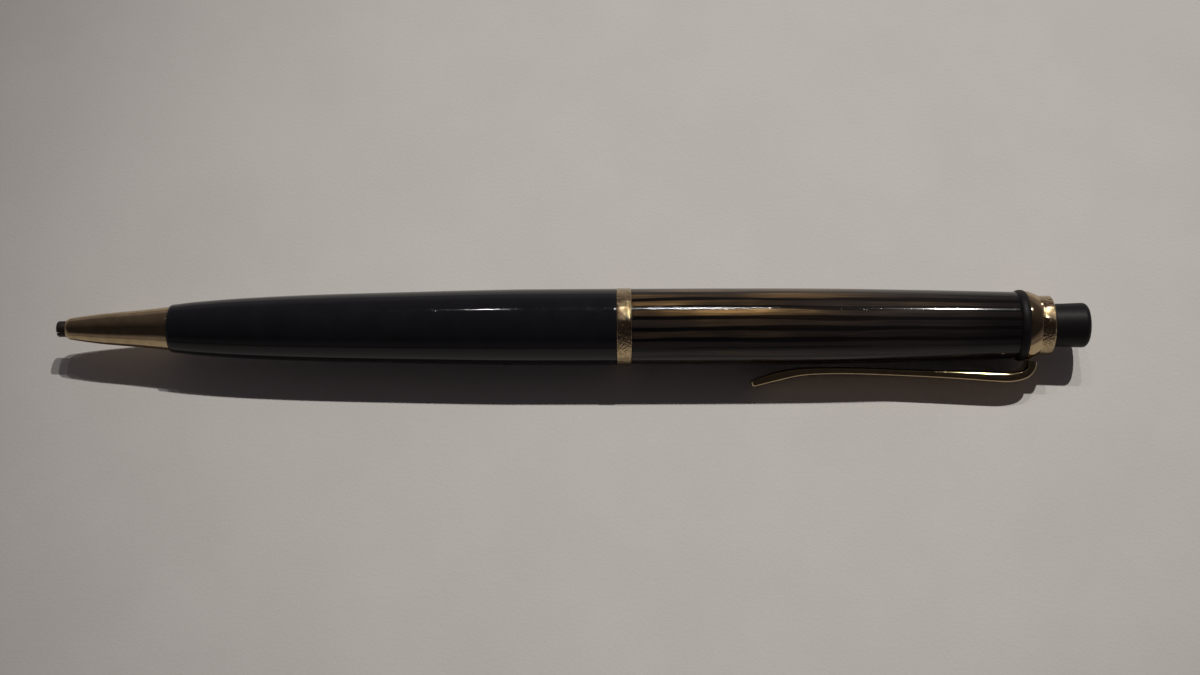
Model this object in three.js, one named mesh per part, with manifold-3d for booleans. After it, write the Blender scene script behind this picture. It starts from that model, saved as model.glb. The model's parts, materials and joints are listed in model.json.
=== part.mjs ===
// A slim push-button rollerball pen with a metal nose, a ringed two-part barrel, a spring clip
// and a push button. It lies on its side with the clip turned down towards the surface.
//
// Millimetres, +Z up. Each piece is drawn about the pen's own axis, with X running from the
// writing end to the button. The whole pen is then set down so that the origin is the middle
// of its box's underside. Outlines are lists of [x, radius].

import * as THREE from "three";
import { mergeVertices } from "three/addons/utils/BufferGeometryUtils.js";
import Module from "manifold-3d";

const wasm = await Module();
wasm.setup();

// ---------- driving dimensions ----------

const ROUND = 32; // sides of the outer turned pieces
const ROUND_INNER = 24; // sides of the pieces inside
const RUNNING_FIT = 0.05; // radial gap between pieces that slide or turn on each other
const END_GAP = 0.05; // gap between faces that press on each other

const PEN_LENGTH = 138;
const BAND_RADIUS = 5.19; // the widest turned piece, which the pen lies on
const BARREL_BORE = 3.05;

// Stations along the pen
const CONE_FRONT = 1.25;
const CONE_BACK = 15.15;
const SPIGOT_BACK = 18.4; // end of the cone's screwed spigot inside the front barrel
const SPIGOT_RADIUS = 2.65;
const BAND_FRONT = 74.9;
const BAND_BACK = 76.9;
const SLEEVE_BACK = 84.3; // end of the threaded sleeve inside the upper barrel
const BARREL_BACK = 128.3;
const LIP_BACK = 129.5;
const CLIP_RING_BACK = 131.15;
const CROWN_BACK = 133;

// Screw joint between the two halves
const COUPLER_FRONT = 66;
const COUPLER_BACK = 83;
const COUPLER_SEAT_RADIUS = 4.3; // where it is fixed in the front barrel
const COUPLER_RADIUS = 4.15;
const COUPLER_BORE = 3.1;
const THREAD_PITCH = 0.8;
const THREAD_DEPTH = 0.3;
const THREAD_FRONT = 77.5;
const THREAD_TURNS = 5;

// Mechanism
const TUBE_RADIUS = 3.8;
const TUBE_BORE = 3.2;
const SLOT_COUNT = 4;
const SLOT_RADIUS = 2.95;
const RIB_RADIUS = 2.55;
const STEM_RADIUS = 1.95;
const BUTTON_GUIDE_RADIUS = 3.0;
const TOOTH_HEIGHT = 0.4;
const CORNERS_PER_TOOTH = 3;

// Refill
const BALL_RADIUS = 0.3;
const POINT_START = 1.4; // front of the ball while the point is drawn in
const NEEDLE_RADIUS = 0.5;
const REFILL_RADIUS = 2.9;
const REFILL_SHOULDER = 23.5; // where the spring pushes on the refill
const REFILL_BORE = 2.5;
const REFILL_TUBE_FRONT = 24.2;
const REFILL_TUBE_BACK = 97;
const REFILL_BACK = 99.5;

// Return spring
const SPRING_FRONT = 12.5;
const SPRING_MEAN_RADIUS = 1.85;
const SPRING_WIRE_RADIUS = 0.2;
const SPRING_TURNS = 9;

// Clip
const CLIP_ROLL = 117; // degrees about X, from straight up to 27 degrees below the horizon

// ---------- finishes ----------

const FINISHES = {
  gold: { color: 0xd8b268, metalness: 1, roughness: 0.2 },
  blackResin: { color: 0x0c0c0f, metalness: 0, roughness: 0.12 },
  stripedResin: { color: 0x3a2f26, metalness: 0, roughness: 0.15 },
  darkTip: { color: 0x241f1c, metalness: 0.3, roughness: 0.4 },
  brass: { color: 0xb8934c, metalness: 1, roughness: 0.35 },
  steel: { color: 0xb9bcc0, metalness: 1, roughness: 0.3 },
  plastic: { color: 0x55585c, metalness: 0, roughness: 0.45 },
  carbide: { color: 0x77797d, metalness: 1, roughness: 0.15 },
};

const drawn = new THREE.Group(); // about the pen's own axis

function addPiece(name, finish, geometry, parent = drawn) {
  const mesh = new THREE.Mesh(geometry, new THREE.MeshStandardMaterial(FINISHES[finish]));
  mesh.name = name;
  parent.add(mesh);
  return mesh;
}

// ---------- shape helpers ----------

// A solid turned about X. A tube's outline runs back along the outside and forward along the
// bore; a solid piece's outline starts and ends on the axis.
function turned(outline, sides) {
  const points = outline.map(([x, radius]) => new THREE.Vector2(radius, x));
  const geometry = new THREE.LatheGeometry(points, sides);
  geometry.rotateZ(-Math.PI / 2);
  return geometry;
}

// A tube's closed outline from its outside and its bore, both listed from front to back.
function tube(outside, bore, sides = ROUND) {
  return turned([...outside, ...bore.toReversed(), outside[0]], sides);
}

// Points of a smooth curve through a few guide points.
function smooth(guides, steps) {
  const curve = new THREE.SplineCurve(guides.map(([x, radius]) => new THREE.Vector2(x, radius)));
  return curve.getPoints(steps).map(({ x, y }) => [x, y]);
}

// Points of a quarter ellipse between two corners, bulging towards the first one's radius
// (leaving flat) or towards the last one's.
function quarter([x0, r0], [x1, r1], leavesFlat, steps = 4) {
  return Array.from({ length: steps + 1 }, (_, i) => {
    const angle = (i / steps) * (Math.PI / 2);
    const along = leavesFlat ? Math.sin(angle) : 1 - Math.cos(angle);
    const across = leavesFlat ? 1 - Math.cos(angle) : Math.sin(angle);
    return [x0 + (x1 - x0) * along, r0 + (r1 - r0) * across];
  });
}

// A closed outline with lobes: lobeShare of each pitch at the outer radius, the rest inside.
function lobed(PathType, outer, inner, count, lobeShare, turn = 0) {
  const path = new PathType();
  const pitch = (2 * Math.PI) / count;
  for (let i = 0; i < count; i++) {
    const lobeStart = i * pitch - (lobeShare * pitch) / 2 + turn;
    const lobeEnd = lobeStart + lobeShare * pitch;
    path.absarc(0, 0, outer, lobeStart, lobeEnd, false);
    path.absarc(0, 0, inner, lobeEnd, lobeStart + pitch, false);
  }
  path.closePath();
  return path;
}

// A prism along X from front to back.
function prism(shape, front, back, curveSegments = 4) {
  const options = { depth: back - front, bevelEnabled: false, curveSegments };
  const geometry = new THREE.ExtrudeGeometry(shape, options);
  geometry.rotateY(Math.PI / 2);
  geometry.translate(front, 0, 0);
  return geometry;
}

function toSolid(geometry) {
  const bare = geometry.clone();
  bare.deleteAttribute("normal");
  bare.deleteAttribute("uv");
  const { attributes, index } = mergeVertices(bare, 1e-4);
  const vertProperties = attributes.position.array;
  return new wasm.Manifold(
    new wasm.Mesh({ numProp: 3, vertProperties, triVerts: new Uint32Array(index.array) }),
  );
}

function toGeometry(solid) {
  const { vertProperties, triVerts } = solid.getMesh();
  const geometry = new THREE.BufferGeometry();
  geometry.setAttribute("position", new THREE.BufferAttribute(vertProperties, 3));
  geometry.setIndex(new THREE.BufferAttribute(triVerts, 1));
  geometry.computeVertexNormals();
  return geometry;
}

function joined(...geometries) {
  return toGeometry(geometries.map(toSolid).reduce((all, one) => all.add(one)));
}

// ---------- front section ----------

// Dark sleeve that the point slides through, with a spanner slot across its front.
function tipBushing() {
  const radius = 1.07;
  const bore = 0.63;
  const back = 2.6;
  const slotWidth = 0.36;
  const slotDepth = 0.7;
  const body = tube(
    [...quarter([0, 0.8], [0.3, radius], false, 3), [back, radius]],
    [
      [0, bore],
      [back, bore],
    ],
    ROUND_INNER,
  );
  const slot = new THREE.BoxGeometry(2 * slotDepth, slotWidth, 4 * radius);
  slot.rotateX(THREE.MathUtils.degToRad(60));
  return toGeometry(toSolid(body).subtract(toSolid(slot)));
}

// Tapered metal nose with a spigot that screws into the front barrel.
function noseCone() {
  const outside = smooth(
    [
      [1.7, 1.45],
      [3, 1.65],
      [5.6, 2],
      [8.3, 2.26],
      [11, 2.5],
      [CONE_BACK, 2.95],
    ],
    7,
  );
  return tube(
    [[CONE_FRONT, 1.2], ...outside, [CONE_BACK, SPIGOT_RADIUS], [SPIGOT_BACK, SPIGOT_RADIUS]],
    [
      [CONE_FRONT, 1.1],
      [2.7, 1.1],
      [5, 1.38],
      [SPRING_FRONT, 1.5],
      [SPRING_FRONT, 2.2],
      [SPIGOT_BACK, 2.2],
    ],
  );
}

function frontBarrel() {
  const shoulder = quarter([CONE_BACK, 2.95], [15.75, 3.25], false, 3);
  const swell = smooth(
    [
      [15.75, 3.25],
      [19, 3.62],
      [25.7, 4.1],
      [35.1, 4.5],
      [45.8, 4.78],
      [59.2, 5.06],
      [COUPLER_FRONT, 5.11],
      [BAND_FRONT, 5.13],
    ],
    14,
  );
  const spigotBore = SPIGOT_RADIUS + 0.03;
  const spigotEnd = SPIGOT_BACK + 0.1;
  return tube(
    [...shoulder, ...swell.slice(1)],
    [
      [CONE_BACK, spigotBore],
      [spigotEnd, spigotBore],
      [spigotEnd, BARREL_BORE],
      [COUPLER_FRONT, BARREL_BORE],
      [COUPLER_FRONT, COUPLER_SEAT_RADIUS],
      [BAND_FRONT, COUPLER_SEAT_RADIUS],
    ],
  );
}

// Threaded tube fixed in the front barrel, which screws into the upper half.
function threadedCoupler() {
  const root = COUPLER_RADIUS - THREAD_DEPTH;
  const ridges = Array.from({ length: THREAD_TURNS }, (_, i) => {
    const start = THREAD_FRONT + i * THREAD_PITCH;
    return [
      [start, root],
      [start + THREAD_PITCH / 2, COUPLER_RADIUS],
    ];
  }).flat();
  const threadBack = THREAD_FRONT + THREAD_TURNS * THREAD_PITCH;
  return tube(
    [
      [COUPLER_FRONT, COUPLER_SEAT_RADIUS],
      [BAND_FRONT, COUPLER_SEAT_RADIUS],
      [BAND_FRONT, COUPLER_RADIUS],
      [BAND_BACK, COUPLER_RADIUS],
      ...ridges,
      [threadBack, root],
      [COUPLER_BACK, root],
    ],
    [
      [COUPLER_FRONT, COUPLER_BORE],
      [COUPLER_BACK, COUPLER_BORE],
    ],
  );
}

function centreBand() {
  const edge = 0.15;
  return tube(
    [
      [BAND_FRONT, BAND_RADIUS - edge],
      [BAND_FRONT + edge, BAND_RADIUS],
      [BAND_BACK - edge, BAND_RADIUS],
      [BAND_BACK, BAND_RADIUS - edge],
    ],
    [
      [BAND_FRONT, COUPLER_RADIUS + RUNNING_FIT],
      [BAND_BACK, COUPLER_RADIUS + RUNNING_FIT],
    ],
  );
}

// ---------- upper section ----------

const SLEEVE_RADIUS = 4.72;

function upperBarrel() {
  const outside = smooth(
    [
      [BAND_BACK, 5.12],
      [90, 5.12],
      [103, 5.05],
      [112.9, 4.87],
      [121, 4.69],
      [BARREL_BACK, 4.5],
    ],
    12,
  );
  return tube(outside, [
    [BAND_BACK, SLEEVE_RADIUS],
    [SLEEVE_BACK, SLEEVE_RADIUS],
    [SLEEVE_BACK, TUBE_RADIUS],
    [BARREL_BACK, TUBE_RADIUS],
  ]);
}

// Brass liner whose thread takes the coupler. The thread is drawn as a plain bore.
function threadedSleeve() {
  return tube(
    [
      [BAND_BACK, SLEEVE_RADIUS],
      [SLEEVE_BACK, SLEEVE_RADIUS],
    ],
    [
      [BAND_BACK, COUPLER_RADIUS + RUNNING_FIT],
      [SLEEVE_BACK, COUPLER_RADIUS + RUNNING_FIT],
    ],
  );
}

const GUIDE_FRONT = 102;
const GUIDE_BACK = 112.5;
const BUSH_FRONT = 120;
const BUSH_FLANGE = 124;
const BUSH_RADIUS = 3.15; // a push fit in the mechanism tube

function mechanismTube() {
  return tube(
    [
      [SLEEVE_BACK, TUBE_RADIUS],
      [BUSH_FLANGE, TUBE_RADIUS],
    ],
    [
      [SLEEVE_BACK, TUBE_BORE],
      [BUSH_FLANGE, TUBE_BORE],
    ],
  );
}

// Fixed ring of the cam mechanism: ribs with slots between them.
function camGuide() {
  const shape = new THREE.Shape();
  shape.absarc(0, 0, BUSH_RADIUS, 0, 2 * Math.PI, false);
  shape.holes.push(lobed(THREE.Path, SLOT_RADIUS, RIB_RADIUS, SLOT_COUNT, 1 / 3));
  return prism(shape, GUIDE_FRONT, GUIDE_BACK, 12);
}

function crownBush() {
  const guideBore = BUTTON_GUIDE_RADIUS + RUNNING_FIT;
  const stop = BUSH_FLANGE + 0.4; // the face that the pressed button stops short of
  return tube(
    [
      [BUSH_FRONT, BUSH_RADIUS],
      [BUSH_FLANGE, BUSH_RADIUS],
      [BUSH_FLANGE, TUBE_RADIUS],
      [CLIP_RING_BACK, TUBE_RADIUS],
    ],
    [
      [BUSH_FRONT, STEM_RADIUS + RUNNING_FIT],
      [stop, STEM_RADIUS + RUNNING_FIT],
      [stop, guideBore],
      [CLIP_RING_BACK, guideBore],
    ],
  );
}

function barrelEndRing() {
  const rise = quarter([BARREL_BACK, 4.5], [128.9, 4.78], false, 3);
  const fall = quarter([128.9, 4.78], [LIP_BACK, 4.5], true, 3);
  return tube(
    [...rise, ...fall.slice(1)],
    [
      [BARREL_BACK, TUBE_RADIUS + RUNNING_FIT],
      [LIP_BACK, TUBE_RADIUS + RUNNING_FIT],
    ],
  );
}

function clipRing() {
  return tube(
    [
      [LIP_BACK, 4.6],
      [129.9, 4.6],
      [CLIP_RING_BACK, 4.12],
    ],
    [
      [LIP_BACK, TUBE_RADIUS + RUNNING_FIT],
      [CLIP_RING_BACK, TUBE_RADIUS + RUNNING_FIT],
    ],
  );
}

function crownRing() {
  const radius = 3.98;
  const edge = 0.25;
  return tube(
    [
      [CLIP_RING_BACK, radius - 0.08],
      [131.5, radius],
      ...quarter([CROWN_BACK - edge, radius], [CROWN_BACK, radius - edge], true, 3),
    ],
    [
      [CLIP_RING_BACK, BUTTON_GUIDE_RADIUS + RUNNING_FIT],
      [CROWN_BACK, BUTTON_GUIDE_RADIUS + RUNNING_FIT],
    ],
  );
}

// ---------- clip ----------

// Middle line of the clip's strip: [x, distance from the pen's axis, thickness, width],
// from its foot on the clip ring, round the bend and along to the flared free end.
const CLIP_GUIDES = [
  [130.4, 4.75, 1.3, 3.2],
  [130.2, 5.7, 1.3, 3.4],
  [129.3, 6.5, 1.35, 3.7],
  [127.4, 6.9, 1.4, 3.9],
  [125, 6.84, 1.35, 3.9],
  [121, 6.6, 1.2, 3.8],
  [116, 6.35, 1.05, 3.6],
  [108.3, 6.02, 1.0, 3.3],
  [103.5, 5.95, 1.0, 3.1],
  [99.5, 6.1, 1.15, 2.9],
  [96.1, 6.75, 1.3, 2.6],
  [92.8, 7.75, 0.9, 2.2],
];

function clipArm() {
  const sides = 12;
  const steps = 24;
  const squareness = 0.4; // 1 is an ellipse, less is boxier
  const line = new THREE.SplineCurve(CLIP_GUIDES.map(([x, r]) => new THREE.Vector2(x, r)));
  const size = new THREE.SplineCurve(CLIP_GUIDES.map(([, , t, w]) => new THREE.Vector2(t, w)));
  const geometry = new THREE.CylinderGeometry(1, 1, 1, sides, steps);
  const position = geometry.getAttribute("position");
  const vertex = new THREE.Vector3();
  const rounded = (value) => Math.sign(value) * Math.abs(value) ** squareness;
  for (let i = 0; i < position.count; i++) {
    vertex.fromBufferAttribute(position, i);
    const along = THREE.MathUtils.clamp(vertex.y + 0.5, 0, 1);
    const centre = line.getPoint(along);
    const tangent = line.getTangent(along);
    const { x: thickness, y: width } = size.getPoint(along);
    const out = (rounded(vertex.x) * thickness) / 2;
    const side = (rounded(vertex.z) * width) / 2;
    position.setXYZ(i, centre.x - tangent.y * out, side, centre.y + tangent.x * out);
  }
  return geometry;
}

// ---------- push button and mechanism ----------

const BUTTON_FRONT = 129;

function pushButton() {
  const edge = 0.8;
  const endRadius = 3.0;
  return turned(
    [
      [BUTTON_FRONT, 0],
      [BUTTON_FRONT, BUTTON_GUIDE_RADIUS],
      [131.2, BUTTON_GUIDE_RADIUS],
      [132, 2.86],
      [134.5, 2.9],
      ...quarter([PEN_LENGTH - edge, endRadius], [PEN_LENGTH, endRadius - edge], true, 4),
      [PEN_LENGTH, 0],
    ],
    ROUND,
  );
}

// Draws saw teeth on one end face of a turned piece, by moving the corners of its rim: three
// corners to a tooth.
function cutTeeth(geometry, face, height) {
  const position = geometry.getAttribute("position");
  for (let i = 0; i < position.count; i++) {
    const [x, y, z] = [position.getX(i), position.getY(i), position.getZ(i)];
    if (Math.abs(x - face) > 1e-4 || Math.hypot(y, z) < 0.1) continue;
    const corner = Math.round((Math.atan2(z, y) / (2 * Math.PI)) * ROUND_INNER) + ROUND_INNER;
    const rise = (corner % CORNERS_PER_TOOTH) / (CORNERS_PER_TOOTH - 1);
    position.setX(i, face + rise * height);
  }
  return geometry;
}

const ROTOR_FRONT = REFILL_BACK + END_GAP;
const ROTOR_BACK = 106;
const ROTOR_RADIUS = 2.4;
const CROWN_FRONT = ROTOR_BACK + 2 * TOOTH_HEIGHT + 2 * END_GAP;
const FIN_RADIUS = SLOT_RADIUS - 0.07;
const FIN_SHARE = 12 / 90; // fins of 12 degrees in slots of 30
const HALF_TURN = 5.625; // degrees each side of a slot's middle that the rotor turns

// A plain rod or disc.
function rod(front, back, radius, sides = ROUND_INNER) {
  return turned(
    [
      [front, 0],
      [front, radius],
      [back, radius],
      [back, 0],
    ],
    sides,
  );
}

// Turning cam that pushes the refill. Its fins run in the guide's slots.
function camRotor() {
  const turn = THREE.MathUtils.degToRad(-HALF_TURN);
  const fins = lobed(THREE.Shape, FIN_RADIUS, ROTOR_RADIUS - 0.3, SLOT_COUNT, FIN_SHARE, turn);
  const body = cutTeeth(rod(ROTOR_FRONT, ROTOR_BACK, ROTOR_RADIUS), ROTOR_BACK, TOOTH_HEIGHT);
  return joined(body, prism(fins, GUIDE_FRONT + 0.6, ROTOR_BACK - 0.3));
}

// Toothed plunger on the stem. Its lugs keep it from turning in the guide.
function thrustCrown() {
  const lugs = lobed(THREE.Shape, FIN_RADIUS, ROTOR_RADIUS - 0.3, SLOT_COUNT, FIN_SHARE);
  const body = cutTeeth(rod(CROWN_FRONT, GUIDE_BACK, ROTOR_RADIUS), CROWN_FRONT, -TOOTH_HEIGHT);
  return joined(body, prism(lugs, CROWN_FRONT + 0.6, GUIDE_BACK - 0.3));
}

// ---------- refill and spring ----------

const NEEDLE_BACK = 7.2;

// Writing ball, held in the open end of the needle.
function writingBall() {
  const ball = new THREE.SphereGeometry(BALL_RADIUS, 12, 8);
  ball.translate(POINT_START + BALL_RADIUS, 0, 0);
  return ball;
}

function refillNeedle() {
  const socket = BALL_RADIUS + 0.01;
  const mouth = POINT_START + 0.14;
  const seat = POINT_START + 2 * BALL_RADIUS + 0.02;
  return turned(
    [
      [seat, 0],
      [seat, socket],
      [mouth, socket],
      [mouth, 0.36],
      [2.3, NEEDLE_RADIUS],
      [NEEDLE_BACK, NEEDLE_RADIUS],
      [NEEDLE_BACK, 0],
    ],
    16,
  );
}

// Point holder and neck, with the shoulder that the spring pushes on.
function refillNeck() {
  return turned(
    [
      [NEEDLE_BACK, 0],
      [NEEDLE_BACK, 0.8],
      [9, 1.1],
      [12.4, 1.2],
      [14, 1.45],
      [REFILL_SHOULDER, 1.45],
      [REFILL_SHOULDER, 2.7],
      [REFILL_TUBE_FRONT, 2.7],
      [REFILL_TUBE_FRONT, 0],
    ],
    ROUND_INNER,
  );
}

function refillTube() {
  return tube(
    [
      [REFILL_TUBE_FRONT, REFILL_RADIUS - 0.15],
      [24.5, REFILL_RADIUS],
      [REFILL_TUBE_BACK, REFILL_RADIUS],
    ],
    [
      [REFILL_TUBE_FRONT, REFILL_BORE],
      [REFILL_TUBE_BACK, REFILL_BORE],
    ],
    ROUND_INNER,
  );
}

function refillEndPlug() {
  return turned(
    [
      [95, 0],
      [95, REFILL_BORE],
      [REFILL_TUBE_BACK, REFILL_BORE],
      [REFILL_TUBE_BACK, REFILL_RADIUS],
      [98.6, REFILL_RADIUS],
      [REFILL_BACK, 2.4],
      [REFILL_BACK, 0],
    ],
    ROUND_INNER,
  );
}

// Coil spring with nearly closed end turns.
function returnSpring() {
  const front = SPRING_FRONT + 0.02 + SPRING_WIRE_RADIUS;
  const back = REFILL_SHOULDER - 0.02 - SPRING_WIRE_RADIUS;
  const endPitch = 0.45;
  class Coil extends THREE.Curve {
    getPoint(t, point = new THREE.Vector3()) {
      const angle = t * SPRING_TURNS * 2 * Math.PI;
      const turnsFromEnd = Math.min(t, 1 - t) * SPRING_TURNS;
      const openLength = back - front - 2 * endPitch;
      const open = THREE.MathUtils.clamp((t * SPRING_TURNS - 1) / (SPRING_TURNS - 2), 0, 1);
      const ends = t < 0.5 ? Math.min(turnsFromEnd, 1) : 2 - Math.min(turnsFromEnd, 1);
      const x = front + ends * endPitch + open * openLength;
      const [y, z] = [Math.cos(angle), Math.sin(angle)].map((v) => v * SPRING_MEAN_RADIUS);
      return point.set(x, y, z);
    }
  }
  const section = new THREE.Shape();
  section.absarc(0, 0, SPRING_WIRE_RADIUS, 0, 2 * Math.PI, false);
  return new THREE.ExtrudeGeometry(section, {
    extrudePath: new Coil(),
    steps: SPRING_TURNS * 12,
    curveSegments: 3,
  });
}

// ---------- assembly ----------

addPiece("tip_bushing", "darkTip", tipBushing());
addPiece("nose_cone", "gold", noseCone());
addPiece("front_barrel", "blackResin", frontBarrel());
addPiece("threaded_coupler", "brass", threadedCoupler());
addPiece("centre_band", "gold", centreBand());

addPiece("upper_barrel", "stripedResin", upperBarrel());
addPiece("threaded_sleeve", "brass", threadedSleeve());
addPiece("mechanism_tube", "brass", mechanismTube());
addPiece("cam_guide", "plastic", camGuide());
addPiece("crown_bush", "brass", crownBush());
addPiece("barrel_end_ring", "blackResin", barrelEndRing());
addPiece("clip_ring", "gold", clipRing());
addPiece("crown_ring", "gold", crownRing());

const clipHolder = new THREE.Group();
clipHolder.rotation.x = THREE.MathUtils.degToRad(CLIP_ROLL);
drawn.add(clipHolder);
addPiece("clip_arm", "gold", clipArm(), clipHolder);

addPiece("push_button", "blackResin", pushButton());
addPiece("button_stem", "plastic", rod(GUIDE_BACK, BUTTON_FRONT, STEM_RADIUS));
addPiece("thrust_crown", "plastic", thrustCrown());
addPiece("cam_rotor", "plastic", camRotor());

addPiece("writing_ball", "carbide", writingBall());
addPiece("refill_needle", "steel", refillNeedle());
addPiece("refill_neck", "plastic", refillNeck());
addPiece("refill_tube", "plastic", refillTube());
addPiece("refill_end_plug", "plastic", refillEndPlug());
addPiece("return_spring", "steel", returnSpring());

// Sets the pen down with the middle of its box's underside at the origin.
const box = new THREE.Box3().setFromObject(drawn, true);
const middle = box.getCenter(new THREE.Vector3());
drawn.position.set(-middle.x, -middle.y, -box.min.z);

const pen = new THREE.Group();
pen.add(drawn);

export default pen;
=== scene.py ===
"""Looks of a slim push-button rollerball pen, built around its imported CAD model.

Outlines are lists of (x, radius) in millimetres, x from the writing end to the button. The
CAD model says where the pen lies. The pieces in MAKERS are turned or swept in mesh code here and
ride on their CAD bodies. The rest, all hidden inside the pen, keep their CAD shapes. Every
material is procedural.
"""

import json
import math

import bpy
from mathutils import Matrix, Vector


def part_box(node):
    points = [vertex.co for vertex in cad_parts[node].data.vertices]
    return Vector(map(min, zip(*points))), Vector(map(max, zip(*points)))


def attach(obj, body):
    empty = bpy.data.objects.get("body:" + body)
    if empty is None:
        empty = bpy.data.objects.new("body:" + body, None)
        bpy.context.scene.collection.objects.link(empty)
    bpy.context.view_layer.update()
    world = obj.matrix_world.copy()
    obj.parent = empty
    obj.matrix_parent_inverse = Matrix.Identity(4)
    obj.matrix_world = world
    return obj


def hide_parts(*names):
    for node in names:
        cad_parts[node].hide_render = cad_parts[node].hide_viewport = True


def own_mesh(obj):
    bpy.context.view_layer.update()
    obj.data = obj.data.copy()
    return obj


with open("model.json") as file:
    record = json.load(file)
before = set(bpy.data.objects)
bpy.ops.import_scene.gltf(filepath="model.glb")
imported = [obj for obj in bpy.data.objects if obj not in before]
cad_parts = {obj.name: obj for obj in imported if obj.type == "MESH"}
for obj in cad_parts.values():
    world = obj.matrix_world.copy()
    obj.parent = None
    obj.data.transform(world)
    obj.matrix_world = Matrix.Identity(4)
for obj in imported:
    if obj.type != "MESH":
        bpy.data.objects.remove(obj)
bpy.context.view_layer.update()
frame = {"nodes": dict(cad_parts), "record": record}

# ---------- where the pen lies ----------

MM = 0.001
TIP_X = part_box("tip_bushing")[0].x
BAND_LOW, BAND_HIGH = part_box("centre_band")
AXIS_Y = (BAND_LOW.y + BAND_HIGH.y) / 2
AXIS_Z = (BAND_LOW.z + BAND_HIGH.z) / 2

# ---------- stations and radii, in millimetres ----------

PEN_LENGTH = (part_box("push_button")[1].x - TIP_X) / MM
BAND_RADIUS = (BAND_HIGH.z - BAND_LOW.z) / 2 / MM
CONE_FRONT = 1.25
CONE_BACK = 15.15
CONE_RADIUS = 2.95
SPIGOT_BACK = 18.4
SPIGOT_RADIUS = 2.65
COUPLER_FRONT = 66
COUPLER_BACK = 83
COUPLER_SEAT_RADIUS = 4.3
COUPLER_RADIUS = 4.15
BAND_FRONT = 74.9
BAND_BACK = 76.9
SLEEVE_BACK = 84.3
SLEEVE_RADIUS = 4.72
TUBE_RADIUS = 3.8
BARREL_BACK = 128.3
BARREL_END_RADIUS = 4.5
LIP_BACK = 129.5
CLIP_RING_BACK = 131.15
CROWN_BACK = 133
BARREL_BORE = 3.05
RUNNING_FIT = 0.05
BUTTON_FRONT = 129
BUTTON_RADIUS = 3.0
NEEDLE_BACK = 7.2
REFILL_SHOULDER = 23.5
REFILL_TUBE_FRONT = 24.2
BALL_RADIUS = 0.3
POINT_START = 1.4

SIDES = 176  # round a turned piece
EDGE = 0.07  # how far a sharp edge is eased
SMOOTH_UNDER = math.radians(32)
STRIPES = 22  # brown bands round the upper barrel
STRIPE_PHASE = 0.17
WORN_MIDDLE = 88  # the polish is worn about here, mostly behind the band
WORN_REACH = 16
WEAR_ELSEWHERE = 0.03  # the ripple's share far from there

BODY_OF = {n: body for body, nodes in frame["record"]["behaviour"]["bodies"].items() for n in nodes}
SLOT_OF = {part["node"]: part["material_slot"] for part in frame["record"]["subparts"]}


def in_row(x, across, up):
    """A point about the pen's own axis in millimetres, as a point of the frame in metres."""
    return Vector((TIP_X + x * MM, AXIS_Y + across * MM, AXIS_Z + up * MM))


# ---------- outlines ----------


def spline(guides, t):
    """The point at t, from 0 to 1, of a smooth curve through the guide points."""
    last = len(guides) - 1
    place = t * last
    i = min(int(place), last - 1)
    w = place - i
    before, start, end, after = (guides[max(0, min(last, k))] for k in (i - 1, i, i + 1, i + 2))
    point = []
    for a, b, c, d in zip(before, start, end, after):
        leave = (c - a) / 2
        arrive = (d - b) / 2
        cubic = 2 * b - 2 * c + leave + arrive
        square = 3 * c - 3 * b - 2 * leave - arrive
        point.append(((cubic * w + square) * w + leave) * w + b)
    return tuple(point)


def smooth(guides, steps):
    """Points along a smooth curve through a few guide points."""
    return [spline(guides, k / steps) for k in range(steps + 1)]


def quarter(start, end, leaves_flat, steps=10):
    """Points of a quarter ellipse between two corners of an outline."""
    points = []
    for k in range(steps + 1):
        angle = k / steps * math.pi / 2
        along = math.sin(angle) if leaves_flat else 1 - math.cos(angle)
        across = 1 - math.cos(angle) if leaves_flat else math.sin(angle)
        x = start[0] + (end[0] - start[0]) * along
        radius = start[1] + (end[1] - start[1]) * across
        points.append((x, radius))
    return points


def tube(outside, bore):
    """A tube's closed outline, from its outside and its bore, both front to back."""
    return outside + bore[::-1]


def eased(outline, closed, ease):
    """The outline with each sharp corner rounded by a small arc."""
    points = [Vector(p) for p in outline]
    count = len(points)
    result = []
    for i, corner in enumerate(points):
        if not closed and i in (0, count - 1):
            result.append(tuple(corner))
            continue
        arrive = corner - points[i - 1]
        leave = points[(i + 1) % count] - corner
        if arrive.angle(leave) < SMOOTH_UNDER:
            result.append(tuple(corner))
            continue
        cut = min(ease, 0.4 * arrive.length, 0.4 * leave.length)
        start = corner - arrive.normalized() * cut
        end = corner + leave.normalized() * cut
        for t in (0, 0.25, 0.5, 0.75, 1):
            result.append(tuple(start.lerp(corner, t).lerp(corner.lerp(end, t), t)))
    return result


# ---------- mesh makers ----------


def new_piece(name, points, faces):
    """A smooth mesh object with its sharp edges kept, from points in the frame."""
    mesh = bpy.data.meshes.new(name)
    mesh.from_pydata(points, [], faces)
    mesh.shade_smooth()
    mesh.set_sharp_from_angle(angle=SMOOTH_UNDER)
    piece = bpy.data.objects.new(name, mesh)
    bpy.context.scene.collection.objects.link(piece)
    return piece


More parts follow.
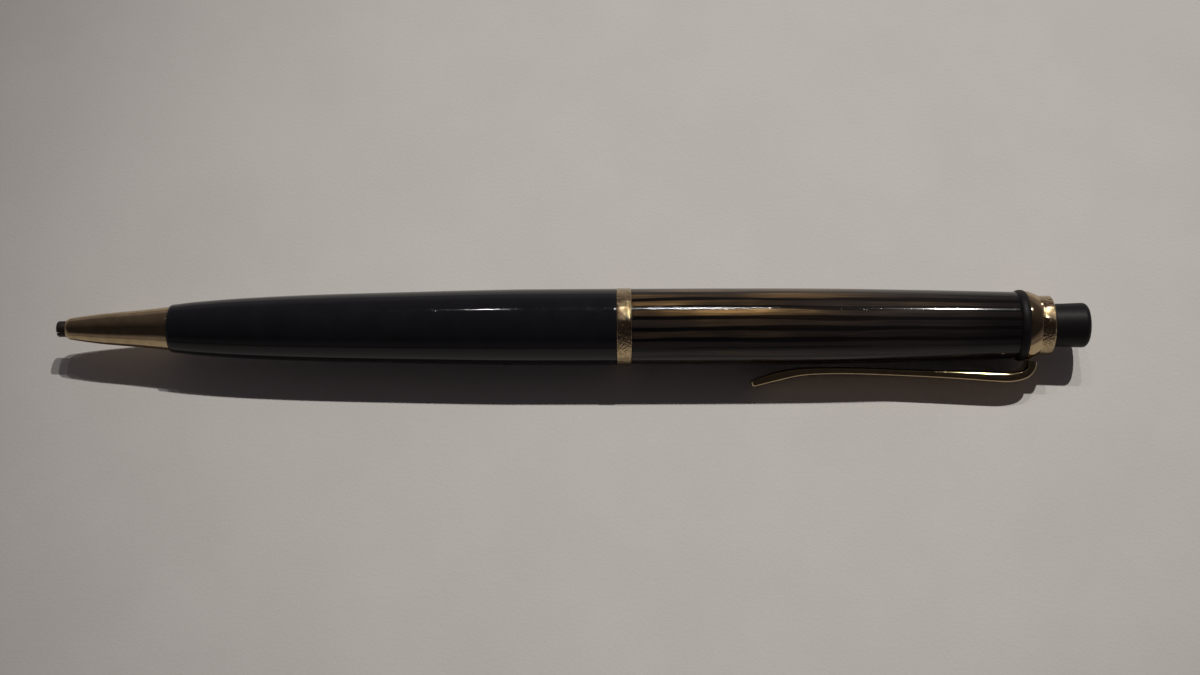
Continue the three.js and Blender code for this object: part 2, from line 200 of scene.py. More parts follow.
def turned(name, outline, sides=SIDES, relief=None, ease=EDGE):
    """A piece turned about the pen's axis. An outline that starts and ends on the axis is
    solid, any other closes on itself. relief(x, radius, angle) gives a changed radius."""
    closed = outline[0][1] > 0
    points = []
    rings = []
    for x, radius in eased(outline, closed, ease):
        rings.append([len(points) + (k if radius > 0 else 0) for k in range(sides)])
        for k in range(sides if radius > 0 else 1):
            angle = 2 * math.pi * k / sides
            r = relief(x, radius, angle) if relief and radius > 0 else radius
            points.append(in_row(x, r * math.cos(angle), r * math.sin(angle)))
    faces = []
    for i in range(len(rings) if closed else len(rings) - 1):
        here, there = rings[i], rings[(i + 1) % len(rings)]
        for k in range(sides):
            n = (k + 1) % sides
            face = [here[k], here[n], there[n], there[k]]
            faces.append(list(dict.fromkeys(face)))
    return new_piece(name, points, faces)


def swept(name, stations, section_sides, section):
    """A solid along stations (centre, out, side), each with its own section: section(t, angle)
    gives how far out and how far to the side a corner stands. A flat face closes each end."""
    points = []
    faces = []
    last = len(stations) - 1
    for i, (centre, out, side) in enumerate(stations):
        for k in range(section_sides):
            far, across = section(i / last, 2 * math.pi * k / section_sides)
            points.append(centre + out * far + side * across)
    for i in range(last):
        for k in range(section_sides):
            n = (k + 1) % section_sides
            a, b = i * section_sides, (i + 1) * section_sides
            faces.append([a + k, a + n, b + n, b + k])
    faces.append(list(range(section_sides))[::-1])
    faces.append([last * section_sides + k for k in range(section_sides)])
    return new_piece(name, points, faces)


def cut_away(piece, cutter):
    """Cuts one mesh out of another and removes the cutter."""
    step = piece.modifiers.new("cut", "BOOLEAN")
    step.operation = "DIFFERENCE"
    step.solver = "EXACT"
    step.object = cutter
    graph = bpy.context.evaluated_depsgraph_get()
    piece.data = bpy.data.meshes.new_from_object(piece.evaluated_get(graph))
    piece.modifiers.clear()
    bpy.data.objects.remove(cutter)
    piece.data.set_sharp_from_angle(angle=SMOOTH_UNDER)


# ---------- materials ----------


class Finish:
    """A material whose node tree is built by short calls. Places are in millimetres."""

    def __init__(self, name, **uniform):
        self.material = bpy.data.materials.new(name)
        self.material.use_nodes = True
        self.tree = self.material.node_tree
        self.shader = self.tree.nodes["Principled BSDF"]
        for socket, value in uniform.items():
            self.shader.inputs[socket.replace("_", " ")].default_value = value
        place = self.node("ShaderNodeTexCoord").outputs["Object"]
        self.place = self.vector("SCALE", place, scale=1 / MM)

    def node(self, kind, **settings):
        """A new node of the tree."""
        made = self.tree.nodes.new(kind)
        for name, value in settings.items():
            setattr(made, name, value)
        return made

    def feed(self, socket, value):
        """Links another node's output to a socket, or sets the socket to a plain value."""
        if isinstance(value, bpy.types.NodeSocket):
            self.tree.links.new(value, socket)
        else:
            socket.default_value = value

    def vector(self, operation, a, b=None, scale=None):
        made = self.node("ShaderNodeVectorMath", operation=operation)
        self.feed(made.inputs[0], a)
        if b is not None:
            self.feed(made.inputs[1], b)
        if scale is not None:
            self.feed(made.inputs["Scale"], scale)
        return made.outputs["Vector"]

    def math(self, operation, a, b=0.0, c=0.0):
        made = self.node("ShaderNodeMath", operation=operation)
        for socket, value in zip(made.inputs, (a, b, c)):
            self.feed(socket, value)
        return made.outputs[0]

    def stretched(self, scale, place=None):
        """The place with each direction scaled: features per millimetre along x, y and z."""
        return self.vector("MULTIPLY", self.place if place is None else place, scale)

    def noise(self, place, scale=1.0, detail=2.0, roughness=0.5):
        made = self.node("ShaderNodeTexNoise")
        self.feed(made.inputs["Vector"], place)
        made.inputs["Scale"].default_value = scale
        made.inputs["Detail"].default_value = detail
        made.inputs["Roughness"].default_value = roughness
        return made.outputs["Fac"]

    def between(self, value, low, high, to_low=0.0, to_high=1.0, smooth_step=True):
        """Maps low..high to to_low..to_high and holds it beyond."""
        kind = "SMOOTHSTEP" if smooth_step else "LINEAR"
        made = self.node("ShaderNodeMapRange", interpolation_type=kind)
        for socket, amount in zip(made.inputs, (value, low, high, to_low, to_high)):
            self.feed(socket, amount)
        return made.outputs["Result"]

    def mix(self, share, a, b):
        """Mixes two colours."""
        made = self.node("ShaderNodeMix", data_type="RGBA")
        self.feed(made.inputs["Factor"], share)
        for socket, colour in ((made.inputs["A"], a), (made.inputs["B"], b)):
            self.feed(socket, colour if isinstance(colour, bpy.types.NodeSocket) else (*colour, 1))
        return made.outputs["Result"]

    def bump(self, height, depth, under=None):
        """Relief of a height from 0 to 1, depth millimetres deep."""
        made = self.node("ShaderNodeBump")
        made.inputs["Strength"].default_value = 1
        made.inputs["Distance"].default_value = depth * MM
        self.feed(made.inputs["Height"], height)
        if under is not None:
            self.feed(made.inputs["Normal"], under)
        return made.outputs["Normal"]

    def use(self, **sockets):
        """Feeds the shader's sockets and gives the material."""
        for socket, value in sockets.items():
            self.feed(self.shader.inputs[socket.replace("_", " ")], value)
        return self.material

    # Patterns that several finishes share

    def scratches(self, density):
        """Thin lines in three directions, from 0 to 1, more of them at a higher density."""
        lines = 0.0
        start = 0.72 - 0.06 * density
        for turn, fineness in ((0.35, 9.0), (-0.6, 12.0), (1.4, 7.0)):
            rotate = self.node("ShaderNodeVectorRotate", rotation_type="Z_AXIS")
            self.feed(rotate.inputs["Vector"], self.place)
            rotate.inputs["Angle"].default_value = turn
            stretch = self.stretched((0.25, fineness, fineness), rotate.outputs[0])
            value = self.noise(stretch, detail=1.5)
            line = self.between(value, start, start + 0.04)
            lines = self.math("MAXIMUM", lines, line)
        return lines

    def dust(self, amount):
        """Small specks, from 0 to 1, more of them at a higher amount."""
        value = self.noise(self.place, scale=7.0, detail=3.0, roughness=0.6)
        start = 0.74 - 0.05 * amount
        return self.between(value, start, start + 0.04)

    def worn_ripple(self):
        """A fine ripple, strongest in the middle of the pen where fingers have worn the polish."""
        apart = self.node("ShaderNodeSeparateXYZ")
        self.feed(apart.inputs[0], self.place)
        length = apart.outputs["X"]
        middle = WORN_MIDDLE + TIP_X / MM
        away = self.math("ABSOLUTE", self.math("SUBTRACT", length, middle))
        wear = self.between(away, 0.25 * WORN_REACH, WORN_REACH, 1.0, WEAR_ELSEWHERE)
        ripple = self.noise(self.place, scale=3.5, detail=3, roughness=0.7)
        return self.math("MULTIPLY", ripple, wear)

    def angle(self):
        """The angle about the pen's axis, from -pi to pi."""
        apart = self.node("ShaderNodeSeparateXYZ")
        self.feed(apart.inputs[0], self.place)
        across = self.math("SUBTRACT", apart.outputs["Y"], AXIS_Y / MM)
        up = self.math("SUBTRACT", apart.outputs["Z"], AXIS_Z / MM)
        return self.math("ARCTAN2", up, across)

    def joined(self, x, y, z=0.0):
        """A place from its three numbers."""
        made = self.node("ShaderNodeCombineXYZ")
        for socket, value in zip(made.inputs, (x, y, z)):
            self.feed(socket, value)
        return made.outputs[0]


def gilt_metal(name, relief_depth, hollow_shade):
    """Polished gilt plating with fine scratches. A speckled one has relief that breaks up its
    highlights, and shade painted darker into the hollows of that relief, by a share from 0 to 1."""
    finish = Finish(name, Metallic=1.0)
    cloud = finish.noise(finish.place, scale=0.7, detail=3)
    grain = finish.noise(finish.place, scale=3.2, detail=1.5, roughness=0.6)
    scratch = finish.scratches(0.6)
    colour = finish.mix(finish.between(cloud, 0.35, 0.7), (0.56, 0.43, 0.25), (0.46, 0.345, 0.20))
    colour = finish.mix(finish.math("MULTIPLY", scratch, 0.2), colour, (0.32, 0.26, 0.18))
    # Painted shade: the low spots of the grain, the hollows of the relief, are coloured darker
    colour = finish.mix(finish.between(grain, 0.43, 0.54, hollow_shade, 0), colour, (0.14, 0.095, 0.04))
    dull = finish.between(cloud, 0.3, 0.8, 0.05, 0.1)
    dull = finish.math("ADD", dull, finish.math("MULTIPLY", scratch, 0.08))
    relief = finish.bump(grain, relief_depth)
    relief = finish.bump(scratch, -0.0007, relief)
    return finish.use(Base_Color=colour, Roughness=dull, Normal=relief)


def black_resin():
    """Polished black resin with dust, hairline scratches and a worn stretch by the band."""
    finish = Finish("black_resin", IOR=1.33)
    cloud = finish.noise(finish.place, scale=0.35, detail=3)
    scratch = finish.scratches(0.5)
    dust = finish.dust(0.3)
    clouded = finish.between(cloud, 0.3, 0.7)
    colour = finish.mix(clouded, (0.0095, 0.0095, 0.0115), (0.0115, 0.0115, 0.014))
    colour = finish.mix(finish.math("MULTIPLY", scratch, 0.12), colour, (0.04, 0.04, 0.04))
    colour = finish.mix(finish.math("MULTIPLY", dust, 0.3), colour, (0.09, 0.085, 0.08))
    dull = finish.between(cloud, 0.3, 0.8, 0.05, 0.09)
    dull = finish.math("ADD", dull, finish.math("MULTIPLY", scratch, 0.08))
    relief = finish.bump(finish.worn_ripple(), 0.006)
    relief = finish.bump(scratch, -0.0004, relief)
    return finish.use(Base_Color=colour, Roughness=dull, Normal=relief)


def striped_resin():
    """Brown pearly bands along the barrel between near-black lines, under a polish, with a painted sheen
    on the lit side.
    """
    finish = Finish(
        "striped_resin", Specular_IOR_Level=0.0, Coat_Weight=1.0, Coat_Roughness=0.05, Coat_IOR=1.32
    )
    apart = finish.node("ShaderNodeSeparateXYZ")
    finish.feed(apart.inputs[0], finish.place)
    length = apart.outputs["X"]  # from the middle of the pen
    turn = finish.math("DIVIDE", finish.angle(), 2 * math.pi)
    wander = finish.noise(finish.stretched((0.025, 0.16, 0.16)), detail=2)
    wander = finish.between(wander, 0.2, 0.8, -0.35, 0.35, smooth_step=False)
    shift = finish.math("SUBTRACT", wander, STRIPE_PHASE)
    count = finish.math("MULTIPLY_ADD", turn, float(STRIPES), shift)
    band = finish.math("FLOORED_MODULO", finish.math("FLOOR", count), float(STRIPES))
    across = finish.math("FRACT", count)
    own = finish.node("ShaderNodeTexWhiteNoise", noise_dimensions="1D")
    finish.feed(own.inputs["W"], band)
    own_value = own.outputs["Value"]

    # A dark line where two bands meet, of uneven width
    from_middle = finish.math("ABSOLUTE", finish.math("SUBTRACT", across, 0.5))
    uneven = finish.noise(finish.joined(finish.math("MULTIPLY", length, 0.05), band), detail=2)
    width = finish.between(uneven, 0.3, 0.7, 0.16, 0.4, smooth_step=False)
    line = finish.between(finish.math("SUBTRACT", from_middle, width), -0.06, 0.09)
    line = finish.math("MULTIPLY", line, finish.between(length, 8.0, 48.0, 1.0, 0.75))

    # Pearl that comes and goes along each band, with fine fibres in it. It is liveliest near the centre
    # band. A painted sheen makes it brighter and more golden away from the side that faces the camera,
    # and painted shade makes the camera's side greyer.
    stretch = finish.joined(
        finish.math("MULTIPLY", length, 0.045), finish.math("MULTIPLY", band, 3.7), own_value
    )
    pearl = finish.between(finish.noise(stretch, detail=3, roughness=0.55), 0.38, 0.66)
    fibre = finish.noise(finish.stretched((0.13, 3.6, 3.6)), detail=4, roughness=0.6)
    fibre = finish.between(fibre, 0.3, 0.72)
    near_band = finish.between(length, 16.0, 46.0, 1.0, 0.12)
    painted_lit_side = finish.between(finish.angle(), 1.66, 1.93, 1.0, 0.22)
    lively_and_lit = finish.math("MULTIPLY", near_band, painted_lit_side)
    pearl_and_painted_sheen = finish.math("MULTIPLY", pearl, finish.between(fibre, 0.0, 1.0, 0.4, 1.0))
    pearl_and_painted_sheen = finish.math("MULTIPLY", pearl_and_painted_sheen, lively_and_lit)
    # Painted light and shade: brown where lit, grey and duller on the side facing the camera
    brown = finish.mix(own_value, (0.026, 0.018, 0.013), (0.050, 0.031, 0.018))
    grey = finish.mix(fibre, (0.021, 0.017, 0.017), (0.037, 0.030, 0.028))
    colour = finish.mix(lively_and_lit, grey, brown)
    # Golden pearl colour, painted stronger on the lit side as a sheen
    colour = finish.mix(pearl_and_painted_sheen, colour, (0.30, 0.18, 0.072))
    dark_end = finish.between(length, 47.0, 58.0, 0.0, 0.85)
    colour = finish.mix(dark_end, colour, (0.010, 0.009, 0.010))
    colour = finish.mix(line, colour, (0.004, 0.0035, 0.004))
    colour = finish.mix(finish.math("MULTIPLY", finish.dust(0.3), 0.2), colour, (0.2, 0.19, 0.17))
    bare = finish.math("SUBTRACT", 1.0, line)
    shine = finish.math("MULTIPLY", bare, finish.between(pearl_and_painted_sheen, 0.0, 1.0, 0.12, 0.4))
    relief = finish.bump(finish.worn_ripple(), 0.010)
    relief = finish.bump(finish.scratches(0.6), -0.0005, relief)
    dull = finish.between(fibre, 0, 1, 0.5, 0.4)
    return finish.use(Base_Color=colour, Metallic=shine, Roughness=dull, Coat_Normal=relief)


def dark_tip():
    """Dark, slightly pitted metal with paler worn spots."""
    finish = Finish("dark_tip", Metallic=0.7)
    grain = finish.noise(finish.place, scale=4.0, detail=4, roughness=0.65)
    colour = finish.mix(finish.between(grain, 0.4, 0.75), (0.022, 0.018, 0.015), (0.12, 0.10, 0.08))
    dull = finish.between(grain, 0.3, 0.8, 0.5, 0.3)
    return finish.use(Base_Color=colour, Roughness=dull, Normal=finish.bump(grain, 0.02))


def machined(name, light, dark, roughness, lines=6.0):
    """Turned metal with fine rings round the axis, lines of them in a millimetre."""
    finish = Finish(name, Metallic=1.0)
    rings = finish.noise(finish.stretched((lines, 0.15, 0.15)), detail=3)
    cloud = finish.noise(finish.place, scale=0.9, detail=3)
    colour = finish.mix(finish.between(rings, 0.3, 0.7), light, dark)
    colour = finish.mix(finish.between(cloud, 0.45, 0.8, 0, 0.4), colour, dark)
    dull = finish.between(rings, 0.3, 0.7, roughness * 0.8, roughness * 1.25)
    return finish.use(Base_Color=colour, Roughness=dull, Normal=finish.bump(rings, 0.004))


def moulded(name, light, dark, roughness, ior=1.5):
    """Moulded plastic with a fine spark-eroded grain and faint flow marks."""
    finish = Finish(name, IOR=ior)
    grain = finish.noise(finish.place, scale=8.0, detail=2)
    flow = finish.noise(finish.stretched((0.08, 0.5, 0.5)), detail=3)
    colour = finish.mix(finish.between(flow, 0.3, 0.7), light, dark)
    dull = finish.between(grain, 0.3, 0.7, roughness * 0.85, roughness * 1.15)
    return finish.use(Base_Color=colour, Roughness=dull, Normal=finish.bump(grain, 0.003))


def paper():
    """Pale matt paper with a faint mottle and a fibrous tooth."""
    finish = Finish("paper")
    cloud = finish.noise(finish.place, scale=0.05, detail=5, roughness=0.6)
    fibre = finish.noise(finish.place, scale=2.2, detail=5, roughness=0.7)
    clouded = finish.between(cloud, 0.3, 0.7)
    colour = finish.mix(clouded, (0.74, 0.713, 0.683), (0.775, 0.748, 0.718))
    dull = finish.between(fibre, 0.3, 0.7, 0.8, 0.95)
    return finish.use(Base_Color=colour, Roughness=dull, Normal=finish.bump(fibre, 0.05))


# The finish of each material slot
FINISHES = {
    "gilt_metal": gilt_metal("gilt_metal", 0.003, 0.0),
    "black_resin": black_resin(),
    "striped_resin": striped_resin(),
    "dark_tip": dark_tip(),
    "inner_brass": machined("inner_brass", (0.72, 0.53, 0.27), (0.5, 0.36, 0.17), 0.3),
    "inner_plastic": moulded("inner_plastic", (0.12, 0.13, 0.14), (0.08, 0.085, 0.09), 0.45),
    "refill_plastic": moulded("refill_plastic", (0.06, 0.065, 0.08), (0.035, 0.04, 0.05), 0.35),
    "steel": machined("steel", (0.62, 0.63, 0.65), (0.42, 0.43, 0.45), 0.22),
    "carbide": machined("carbide", (0.4, 0.4, 0.42), (0.28, 0.28, 0.3), 0.12, lines=20.0),
}

# Pieces that look unlike the others of their slot
SATIN = moulded("satin_resin", (0.008, 0.0075, 0.0085), (0.011, 0.0095, 0.010), 0.5, ior=1.25)
SPECKLED = gilt_metal("gilt_metal_speckled", 0.13, 0.4)
OWN_FINISH = {
    "centre_band": SPECKLED, "crown_ring": SPECKLED, "barrel_end_ring": SATIN, "push_button": SATIN,
}


def stand_for(node, piece):
    """The fine piece takes a CAD node's place, body, slot and finish."""
    piece.data.materials.clear()
    piece.data.materials.append(OWN_FINISH.get(node, FINISHES[SLOT_OF[node]]))
    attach(piece, BODY_OF[node])
    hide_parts(node)


# ---------- front section ----------


def tip_bushing():
    radius = 1.07
    bore = 0.63
    back = 2.6
    slot_width = 0.36
    slot_depth = 0.7
    roll = math.radians(60)
    outside = quarter((0, 0.8), (0.3, radius), False, 8) + [(back, radius)]
    piece = turned("tip_bushing_fine", tube(outside, [(0, bore), (back, bore)]), 96, ease=0.04)
    bpy.ops.mesh.primitive_cube_add(size=1)
    cutter = bpy.context.object
    shape = Matrix.Diagonal((2 * slot_depth * MM, slot_width * MM, 4 * radius * MM, 1))
    turn = Matrix.Rotation(roll, 4, "X")
    cutter.matrix_world = Matrix.Translation(in_row(0, 0, 0)) @ turn @ shape
    cut_away(piece, cutter)
    return piece


def nose_cone():
    seat = 1.1  # holds the tip bushing
    spring_room = 2.2
    spring_front = 12.5
    taper = [(1.7, 1.45), (3, 1.65), (5.6, 2), (8.3, 2.26), (11, 2.5), (CONE_BACK, CONE_RADIUS)]
    outside = [(CONE_FRONT, 1.2)] + smooth(taper, 60)
    outside += [(CONE_BACK, SPIGOT_RADIUS), (SPIGOT_BACK, SPIGOT_RADIUS)]
    bore = [
        (CONE_FRONT, seat), (2.7, seat), (5, 1.38), (spring_front, 1.5),
        (spring_front, spring_room), (SPIGOT_BACK, spring_room),
    ]
    return turned("nose_cone_fine", tube(outside, bore))


def front_barrel():
    shoulder = (15.75, 3.25)
    swell = [
        shoulder, (19, 3.62), (25.7, 4.1), (35.1, 4.5), (45.8, 4.78), (59.2, 5.06),
        (COUPLER_FRONT, 5.11), (BAND_FRONT, 5.13),
    ]
    outside = quarter((CONE_BACK, CONE_RADIUS), shoulder, False) + smooth(swell, 90)[1:]
    spigot_bore = SPIGOT_RADIUS + 0.03
    spigot_end = SPIGOT_BACK + 0.1
    bore = [
        (CONE_BACK, spigot_bore), (spigot_end, spigot_bore), (spigot_end, BARREL_BORE),
        (COUPLER_FRONT, BARREL_BORE), (COUPLER_FRONT, COUPLER_SEAT_RADIUS),
        (BAND_FRONT, COUPLER_SEAT_RADIUS),
    ]
    return turned("front_barrel_fine", tube(outside, bore))


def threaded_coupler():
    """The coupler with a real helical thread cut in its free end."""
    root = COUPLER_RADIUS - 0.3
    pitch = 0.8
    thread_front = 77.5
    thread_back = 81.5
    steps = 120
    ramp = 0.5  # over which the thread rises at its start and falls at its end
    flat_crest = 1.3  # above 1, the crest is cut flat
    bore = 3.1

    def helix(x, radius, angle):
        if radius < root or not thread_front < x < COUPLER_BACK:
            return radius
        from_start = (x - thread_front) / ramp
        from_end = (thread_back + ramp - x) / ramp
        ends = min(1, max(0, from_start), max(0, from_end))
        phase = ((x - thread_front) / pitch - angle / (2 * math.pi)) % 1
        wave = 1 - abs(phase * 2 - 1)
        return root + (COUPLER_RADIUS - root) * min(1, wave * flat_crest) * ends

    seat = [
        (COUPLER_FRONT, COUPLER_SEAT_RADIUS), (BAND_FRONT, COUPLER_SEAT_RADIUS),
        (BAND_FRONT, COUPLER_RADIUS), (BAND_BACK, COUPLER_RADIUS), (BAND_BACK + 0.3, root),
    ]
    threaded = COUPLER_BACK - thread_front
    threads = [(thread_front + threaded * k / steps, root) for k in range(steps + 1)]
    outline = tube(seat + threads, [(COUPLER_FRONT, bore), (COUPLER_BACK, bore)])
    return turned("threaded_coupler_fine", outline, 96, helix)


def centre_band():
    edge = 0.15
    side = BAND_RADIUS - edge
    outside = quarter((BAND_FRONT, side), (BAND_FRONT + edge, BAND_RADIUS), False, 6)
    outside += quarter((BAND_BACK - edge, BAND_RADIUS), (BAND_BACK, side), True, 6)
    bore = COUPLER_RADIUS + RUNNING_FIT
    return turned("centre_band_fine", tube(outside, [(BAND_FRONT, bore), (BAND_BACK, bore)]))


# ---------- upper section ----------


def upper_barrel():
    guides = [
        (BAND_BACK, 5.12), (90, 5.12), (103, 5.05), (112.9, 4.87), (121, 4.69),
        (BARREL_BACK, BARREL_END_RADIUS),
    ]
    bore = [
        (BAND_BACK, SLEEVE_RADIUS), (SLEEVE_BACK, SLEEVE_RADIUS), (SLEEVE_BACK, TUBE_RADIUS),
        (BARREL_BACK, TUBE_RADIUS),
    ]
    return turned("upper_barrel_fine", tube(smooth(guides, 90), bore))


def threaded_sleeve():
    bore = COUPLER_RADIUS + RUNNING_FIT
    outside = [(BAND_BACK, SLEEVE_RADIUS), (SLEEVE_BACK, SLEEVE_RADIUS)]
    return turned("threaded_sleeve_fine", tube(outside, [(BAND_BACK, bore), (SLEEVE_BACK, bore)]))


def ring_on_tube(name, outside):
    """A ring that fits on the mechanism tube and the crown bush, which are of one radius."""
    bore = TUBE_RADIUS + RUNNING_FIT
    return turned(name, tube(outside, [(outside[0][0], bore), (outside[-1][0], bore)]))


def barrel_end_ring():
    crest = ((BARREL_BACK + LIP_BACK) / 2, 4.78)
    rise = quarter((BARREL_BACK, BARREL_END_RADIUS), crest, False)
    fall = quarter(crest, (LIP_BACK, BARREL_END_RADIUS), True)
    return ring_on_tube("barrel_end_ring_fine", rise + fall[1:])


def clip_ring():
    return ring_on_tube("clip_ring_fine", [(LIP_BACK, 4.6), (129.9, 4.6), (CLIP_RING_BACK, 4.12)])


def crown_ring():
    radius = 3.98
    edge = 0.25
    outside = [(CLIP_RING_BACK, radius - 0.08), (131.5, radius)]
    outside += quarter((CROWN_BACK - edge, radius), (CROWN_BACK, radius - edge), True, 8)
    bore = BUTTON_RADIUS + RUNNING_FIT
    return turned("crown_ring_fine", tube(outside, [(CLIP_RING_BACK, bore), (CROWN_BACK, bore)]))


# ---------- clip ----------

CLIP_ROLL = math.radians(117)  # about the pen's axis, from straight up
CLIP_SQUARENESS = 0.4  # 1 is an ellipse, less is boxier

# Middle line of the strip: (x, distance from the axis, thickness, width)
CLIP_GUIDES = [
    (130.4, 4.75, 1.3, 3.2), (130.2, 5.7, 1.3, 3.4), (129.3, 6.5, 1.35, 3.7), (127.4, 6.9, 1.4, 3.9),
    (125, 6.84, 1.35, 3.9), (121, 6.6, 1.2, 3.8), (116, 6.35, 1.05, 3.6), (108.3, 6.02, 1.0, 3.3),
    (103.5, 5.95, 1.0, 3.1), (99.5, 6.1, 1.15, 2.9), (96.1, 6.75, 1.3, 2.6), (92.8, 7.75, 0.9, 2.2),
]


def clip_arm():
    away = Vector((0, -math.sin(CLIP_ROLL), math.cos(CLIP_ROLL)))
    beside = Vector((0, -math.cos(CLIP_ROLL), -math.sin(CLIP_ROLL)))
    steps = 160
    line = smooth(CLIP_GUIDES, steps)
    stations = []
    for k, (x, distance, _, _) in enumerate(line):
        before, after = line[max(0, k - 1)], line[min(steps, k + 1)]
        forward = (Vector((after[0] - before[0], 0, 0)) + away * (after[1] - before[1])).normalized()
        out = forward.cross(beside).normalized()
        centre = in_row(x, 0, 0) + away * (distance * MM)
        stations.append((centre, out, beside))

    end_share = 0.35  # of the full section, at the free end
    end_length = 1 / 60  # of the clip, over which it rounds off

    def section(t, angle):
        thickness, width = line[round(t * steps)][2:]
        rounding = math.sqrt(min(1, (1 - t) / end_length))
        end = end_share + (1 - end_share) * rounding
        far, across = math.cos(angle), math.sin(angle)
        far = math.copysign(abs(far) ** CLIP_SQUARENESS, far) * thickness / 2
        across = math.copysign(abs(across) ** CLIP_SQUARENESS, across) * width / 2
        return far * MM * end, across * MM * end

    return swept("clip_arm_fine", stations, 64, section)


# ---------- push button, refill and spring ----------


def push_button():
    edge = 0.8
    outline = [
        (BUTTON_FRONT, 0), (BUTTON_FRONT, BUTTON_RADIUS), (131.2, BUTTON_RADIUS), (132, 2.86),
        (134.5, 2.9),
    ]
    outline += quarter((PEN_LENGTH - edge, BUTTON_RADIUS), (PEN_LENGTH, BUTTON_RADIUS - edge), True, 12)
    return turned("push_button_fine", outline + [(PEN_LENGTH, 0)])


def writing_ball():
    steps = 16
    centre = POINT_START + BALL_RADIUS
    arc = [math.pi * k / steps for k in range(steps + 1)]
    outline = [(centre - BALL_RADIUS * math.cos(a), BALL_RADIUS * math.sin(a)) for a in arc]
    outline[0] = (POINT_START, 0)
    outline[-1] = (centre + BALL_RADIUS, 0)
    return turned("writing_ball_fine", outline, 32)


def refill_needle():
    socket = BALL_RADIUS + 0.01
    mouth = POINT_START + 0.14
    seat = POINT_START + 2 * BALL_RADIUS + 0.02
    outline = [
        (seat, 0), (seat, socket), (mouth, socket), (mouth, 0.36), (2.3, 0.5), (NEEDLE_BACK, 0.5),
        (NEEDLE_BACK, 0),
    ]
    return turned("refill_needle_fine", outline, 64, ease=0.01)


def refill_neck():
    outline = [
        (NEEDLE_BACK, 0), (NEEDLE_BACK, 0.8), (9, 1.1), (12.4, 1.2), (14, 1.45), (REFILL_SHOULDER, 1.45),
        (REFILL_SHOULDER, 2.7), (REFILL_TUBE_FRONT, 2.7), (REFILL_TUBE_FRONT, 0),
    ]
    return turned("refill_neck_fine", outline, 96)


def return_spring():
    """A wire coil with nearly closed end turns."""
    wire = 0.2
    radius = 1.85
    turns = 9
    front = 12.52 + wire
    back = 23.48 - wire
    end_pitch = 0.45
    wire_sides = 14
    steps = turns * 48
    stations = []
    for k in range(steps + 1):
        t = k / steps
        turned_by = t * turns
        from_end = min(t, 1 - t) * turns
        middle = max(0, min(1, (turned_by - 1) / (turns - 2)))
        ends = min(from_end, 1) if t < 0.5 else 2 - min(from_end, 1)
        x = front + ends * end_pitch + middle * (back - front - 2 * end_pitch)
        angle = turned_by * 2 * math.pi
        out = Vector((0, math.cos(angle), math.sin(angle)))
        stations.append((in_row(x, radius * out.y, radius * out.z), out, Vector((1, 0, 0))))

    def section(_, angle):
        return wire * MM * math.cos(angle), wire * MM * math.sin(angle)

    return swept("return_spring_fine", stations, wire_sides, section)


# ---------- the pen ----------

MAKERS = (
    tip_bushing, nose_cone, front_barrel, threaded_coupler, centre_band, upper_barrel, threaded_sleeve,
    barrel_end_ring, clip_ring, crown_ring, clip_arm, push_button, writing_ball, refill_needle,
    refill_neck, return_spring,
)
for maker in MAKERS:
    stand_for(maker.__name__, maker())

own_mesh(bpy.data.objects["return_spring_fine"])

# The CAD pieces take the finishes too, for those that nothing stands for
for node, cad_object in frame["nodes"].items():
    cad_object.data.materials.clear()
    cad_object.data.materials.append(FINISHES[SLOT_OF[node]])

# ---------- floor, light and camera ----------


def floor():
    reach = 1.5
    drop = 0.00001  # keeps the floor just clear of the pen
    corners = [(x * reach, y * reach, -drop) for x, y in ((-1, -1), (1, -1), (1, 1), (-1, 1))]
    made = new_piece("floor", corners, [[0, 1, 2, 3]])
    made.data.materials.append(paper())


def hang(light, direction, distance, aside=(0, 0, 0)):
    """Puts a lamp up at a distance from the pen, in a direction (x, y, z) seen from its middle,
    and aims it at a point aside of that middle."""
    made = bpy.data.objects.new(light.name, light)
    middle = in_row(PEN_LENGTH / 2, 0, 0)
    made.location = middle + Vector(direction).normalized() * distance
    backwards = made.location - (middle + Vector(aside))
    made.rotation_euler = backwards.to_track_quat("Z", "Y").to_euler()
    bpy.context.scene.collection.objects.link(made)


def key_lamp():
    """A far, small spot that throws the shadow, in a pool of light that fades to the left."""
    distance = 4.0
    pool_radius = 0.158
    source_size = 0.070
    light = bpy.data.lights.new("key", "SPOT")
    light.energy = 330.0
    light.color = (1.0, 0.965, 0.92)
    light.shadow_soft_size = source_size / 2
    light.spot_size = 2 * math.atan(pool_radius / distance)
    light.spot_blend = 1.0
    hang(light, (0.305, 0.60, 1.0), distance, aside=(0.036, 0.030, 0))


def glint_lamp(name, towards_x, length, width, watts):
    """A weak lamp for a short highlight along the barrel, at a place set by towards_x."""
    distance = 1.3
    towards_y = 0.61
    light = bpy.data.lights.new(name, "AREA")
    light.shape = "DISK" if width == length else "RECTANGLE"
    light.size = length
    light.size_y = width
    light.energy = watts
    light.color = (1.0, 0.98, 0.95)
    hang(light, (towards_x, towards_y, 1.0), distance)


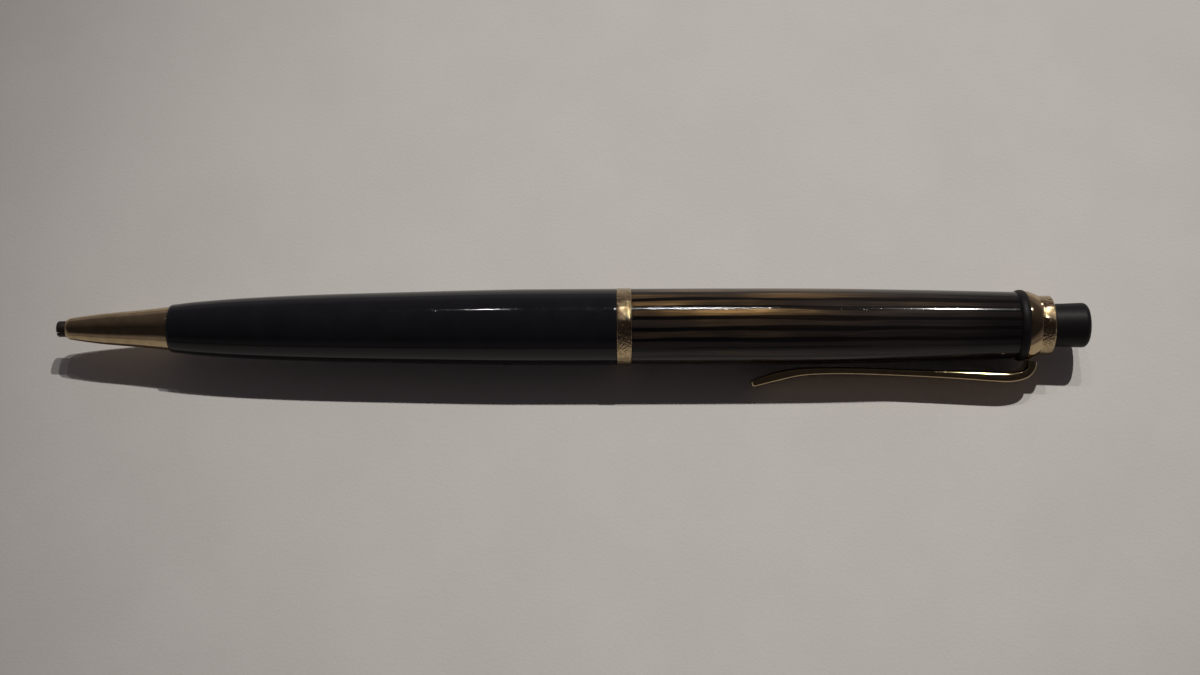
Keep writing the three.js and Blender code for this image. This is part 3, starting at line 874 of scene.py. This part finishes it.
def studio():
    key_lamp()
    glint_lamp("strip", towards_x=0.083, length=0.055, width=0.018, watts=1.9)
    glint_lamp("spark", towards_x=-0.124, length=0.020, width=0.020, watts=0.4)
    room()


def room():
    """A dim room: darkest above the near side of the pen, lighter low down and beyond it."""
    world = bpy.data.worlds.new("room")
    world.use_nodes = True
    tree = world.node_tree
    background = tree.nodes["Background"]
    background.inputs["Color"].default_value = (1.0, 0.88, 0.95, 1)
    towards = tree.nodes.new("ShaderNodeTexCoord")
    apart = tree.nodes.new("ShaderNodeSeparateXYZ")
    tree.links.new(towards.outputs["Generated"], apart.inputs[0])
    total = tree.nodes.new("ShaderNodeMath")
    beyond = (-0.2, 1.0, 0.021, 0.10)
    low_down = (0.12, 0.42, 0.15, 0.0)
    for axis, slot, limits in (("Y", 0, beyond), ("Z", 1, low_down)):
        share = tree.nodes.new("ShaderNodeMapRange")
        for socket, value in zip(("From Min", "From Max", "To Min", "To Max"), limits):
            share.inputs[socket].default_value = value
        tree.links.new(apart.outputs[axis], share.inputs["Value"])
        tree.links.new(share.outputs["Result"], total.inputs[slot])
    tree.links.new(total.outputs[0], background.inputs["Strength"])
    bpy.context.scene.world = world


def camera():
    elevation = math.radians(65)
    distance = 0.232
    roll = math.radians(-0.22)
    middle_x = 72.69  # the station on the pen that is in the middle of the picture
    drop = 0.00141  # how far the aim is below the pen's axis in the picture
    focal_length = 51.9
    lens = bpy.data.cameras.new("camera")
    lens.sensor_width = 36
    lens.lens = focal_length
    lens.clip_start = 0.01
    made = bpy.data.objects.new("camera", lens)
    up = Vector((0, math.sin(elevation), math.cos(elevation)))
    back = Vector((0, -math.cos(elevation), math.sin(elevation)))
    middle = in_row(middle_x, 0, 0) - up * drop
    made.location = middle + back * distance
    tilt = Matrix.Rotation(math.pi / 2 - elevation, 4, "X") @ Matrix.Rotation(roll, 4, "Z")
    made.rotation_euler = tilt.to_euler()
    bpy.context.scene.collection.objects.link(made)
    bpy.context.scene.camera = made


floor()
studio()
camera()
bpy.context.scene.view_settings.view_transform = "Standard"
